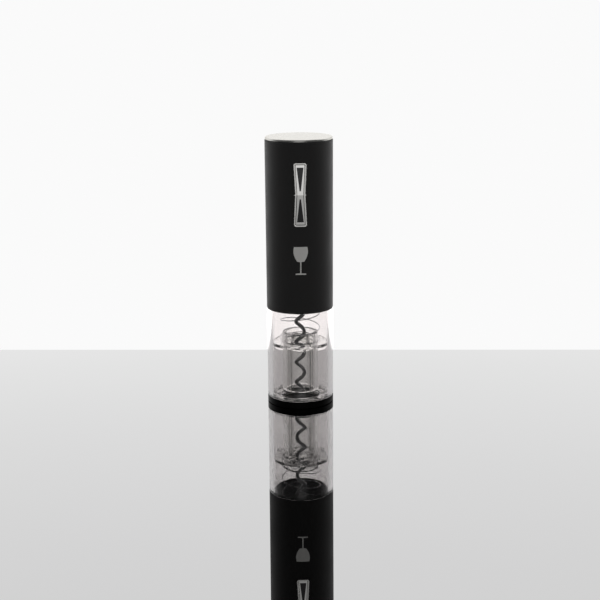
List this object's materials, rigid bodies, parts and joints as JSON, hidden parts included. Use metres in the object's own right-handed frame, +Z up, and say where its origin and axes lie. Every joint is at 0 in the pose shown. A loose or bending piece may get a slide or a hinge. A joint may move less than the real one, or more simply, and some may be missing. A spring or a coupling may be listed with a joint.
{
  "type": "electric wine opener",
  "caption": "Slim round battery wine opener with a rocker switch, clear barrel, sprung cork guide and geared worm, standing on its foil cutter.",
  "frame": {"origin": "centre of the foil cutter's rubber foot, on the surface that the opener stands on", "axes": "+Z up along the worm's axis; the rocker switch faces -Y; +X to the right seen from the switch"},
  "size_m": [0.0484, 0.0491, 0.1945],
  "materials": {
    "base_black": "satin moulded",
    "soft_black": "soft-touch paint over ABS",
    "frame_black": "fine moulded texture",
    "clear_plastic": "polished clear polycarbonate",
    "guide_clear": "polished clear polycarbonate",
    "foot_rubber": "matt",
    "foot_silicone": "translucent",
    "steel": "turned",
    "spring_steel": "drawn wire",
    "worm_coating": "dark non-stick coating over steel",
    "sintered_steel": "sintered",
    "bronze": "turned",
    "copper": "enamelled winding wire",
    "gear_white": "moulded acetal",
    "zinc_steel": "zinc plated",
    "ferrite": "ground",
    "cell_jacket": "printed jacket, plain",
    "nickel_strip": "nickel plated",
    "lead_red": "insulated wire",
    "board_green": "solder mask",
    "bright_chrome": "polished",
    "gloss_black": "gloss",
    "brushed_cap": "brushed, clear anodised"
  },
  "bodies": {
    "base": {"cutter_body": "base_black", "cutter_cover": "guide_clear", "cutter_axles": "steel", "base_pad": "foot_silicone"},
    "wheel_1": {"cutter_wheel_1": "steel"},
    "wheel_2": {"cutter_wheel_2": "steel"},
    "wheel_3": {"cutter_wheel_3": "steel"},
    "wheel_4": {"cutter_wheel_4": "steel"},
    "housing": {"clear_sleeve": "clear_plastic", "outer_tube": "soft_black", "sleeve_screws": "steel", "spring_seat": "frame_black", "guide_spring": "spring_steel", "gearbox_housing": "frame_black", "spindle_bush": "bronze", "ring_gear": "gear_white", "motor_plate": "steel", "motor_screws": "steel", "motor_can": "zinc_steel", "motor_magnets": "ferrite", "motor_brushes": "copper", "motor_endbell": "frame_black", "chassis_left": "frame_black", "chassis_right": "frame_black", "chassis_screws": "steel", "battery_cells": "cell_jacket", "cell_contacts": "nickel_strip", "battery_leads": "lead_red", "motor_leads": "lead_red", "switch_bezel": "bright_chrome", "rocker_pin": "steel", "switch_board": "board_green", "tact_switches": "frame_black"},
    "guide": {"cork_guide": "guide_clear"},
    "spindle": {"worm": "worm_coating", "worm_chuck": "frame_black", "thrust_washer": "steel", "output_carrier": "sintered_steel"},
    "second_planet_a": {"planet_2a": "sintered_steel"},
    "second_planet_b": {"planet_2b": "sintered_steel"},
    "second_planet_c": {"planet_2c": "sintered_steel"},
    "carrier": {"first_carrier": "gear_white"},
    "first_planet_a": {"planet_1a": "gear_white"},
    "first_planet_b": {"planet_1b": "gear_white"},
    "first_planet_c": {"planet_1c": "gear_white"},
    "rotor": {"motor_shaft": "steel", "motor_armature": "sintered_steel", "motor_windings": "copper", "motor_commutator": "copper", "motor_pinion": "bronze"},
    "cap": {"end_cap_plug": "frame_black", "cap_seal": "foot_rubber", "end_cap_trim": "brushed_cap", "cap_contact": "nickel_strip"},
    "rocker": {"rocker": "bright_chrome", "rocker_inlay": "gloss_black"},
    "plunger_upper": {"plunger_upper": "foot_rubber"},
    "plunger_lower": {"plunger_lower": "foot_rubber"}
  },
  "joints": [
    {"name": "lift_off", "type": "slide", "parent": "base", "child": "housing", "axis": [0, 0, 1], "range_m": [0, 0.04]},
    {"name": "wheel_1_spin", "type": "hinge", "parent": "base", "child": "wheel_1", "pos_m": [0.01541, 0.00718, 0.003], "axis": [0, 0, 1], "continuous": true},
    {"name": "wheel_2_spin", "type": "hinge", "parent": "base", "child": "wheel_2", "pos_m": [-0.01541, 0.00718, 0.003], "axis": [0, 0, 1], "continuous": true},
    {"name": "wheel_3_spin", "type": "hinge", "parent": "base", "child": "wheel_3", "pos_m": [-0.01541, -0.00718, 0.003], "axis": [0, 0, 1], "continuous": true},
    {"name": "wheel_4_spin", "type": "hinge", "parent": "base", "child": "wheel_4", "pos_m": [0.01541, -0.00718, 0.003], "axis": [0, 0, 1], "continuous": true},
    {"name": "guide_slide", "type": "slide", "parent": "housing", "child": "guide", "axis": [0, 0, 1], "range_m": [0, 0.0235], "stiffness_N_per_m": 60, "springref_m": -0.01, "deforming": ["guide_spring"]},
    {"name": "worm_spin", "type": "hinge", "parent": "housing", "child": "spindle", "pos_m": [0, 0, 0.084], "axis": [0, 0, 1], "continuous": true},
    {"name": "second_planet_a_spin", "type": "hinge", "parent": "spindle", "child": "second_planet_a", "pos_m": [0, 0.00675, 0.0931], "axis": [0, 0, 1], "continuous": true},
    {"name": "second_planet_b_spin", "type": "hinge", "parent": "spindle", "child": "second_planet_b", "pos_m": [-0.00585, -0.00337, 0.0931], "axis": [0, 0, 1], "continuous": true},
    {"name": "second_planet_c_spin", "type": "hinge", "parent": "spindle", "child": "second_planet_c", "pos_m": [0.00585, -0.00337, 0.0931], "axis": [0, 0, 1], "continuous": true},
    {"name": "carrier_spin", "type": "hinge", "parent": "housing", "child": "carrier", "pos_m": [0, 0, 0.0973], "axis": [0, 0, 1], "continuous": true},
    {"name": "first_planet_a_spin", "type": "hinge", "parent": "carrier", "child": "first_planet_a", "pos_m": [0, 0.00675, 0.1015], "axis": [0, 0, 1], "continuous": true},
    {"name": "first_planet_b_spin", "type": "hinge", "parent": "carrier", "child": "first_planet_b", "pos_m": [-0.00585, -0.00337, 0.1015], "axis": [0, 0, 1], "continuous": true},
    {"name": "first_planet_c_spin", "type": "hinge", "parent": "carrier", "child": "first_planet_c", "pos_m": [0.00585, -0.00337, 0.1015], "axis": [0, 0, 1], "continuous": true},
    {"name": "rotor_spin", "type": "hinge", "parent": "housing", "child": "rotor", "pos_m": [0, 0, 0.12], "axis": [0, 0, 1], "continuous": true},
    {"name": "cap_lift", "type": "slide", "parent": "housing", "child": "cap", "axis": [0, 0, 1], "range_m": [0, 0.03]},
    {"name": "rocker_tilt", "type": "hinge", "parent": "housing", "child": "rocker", "pos_m": [0, -0.02268, 0.1562], "axis": [1, 0, 0], "range_deg": [-3, 3], "stiffness_Nm_per_rad": 0.05},
    {"name": "plunger_upper_press", "type": "slide", "parent": "housing", "child": "plunger_upper", "axis": [0, 1, 0], "range_m": [0, 0.0003], "stiffness_N_per_m": 600},
    {"name": "plunger_lower_press", "type": "slide", "parent": "housing", "child": "plunger_lower", "axis": [0, 1, 0], "range_m": [0, 0.0003], "stiffness_N_per_m": 600}
  ],
  "couplings": [
    {"joint": "second_planet_a_spin", "follows": "worm_spin", "ratio": -2.8},
    {"joint": "second_planet_b_spin", "follows": "worm_spin", "ratio": -2.8},
    {"joint": "second_planet_c_spin", "follows": "worm_spin", "ratio": -2.8},
    {"joint": "carrier_spin", "follows": "worm_spin", "ratio": 4.5},
    {"joint": "first_planet_a_spin", "follows": "worm_spin", "ratio": -12.6},
    {"joint": "first_planet_b_spin", "follows": "worm_spin", "ratio": -12.6},
    {"joint": "first_planet_c_spin", "follows": "worm_spin", "ratio": -12.6},
    {"joint": "rotor_spin", "follows": "worm_spin", "ratio": 20.25}
  ]
}
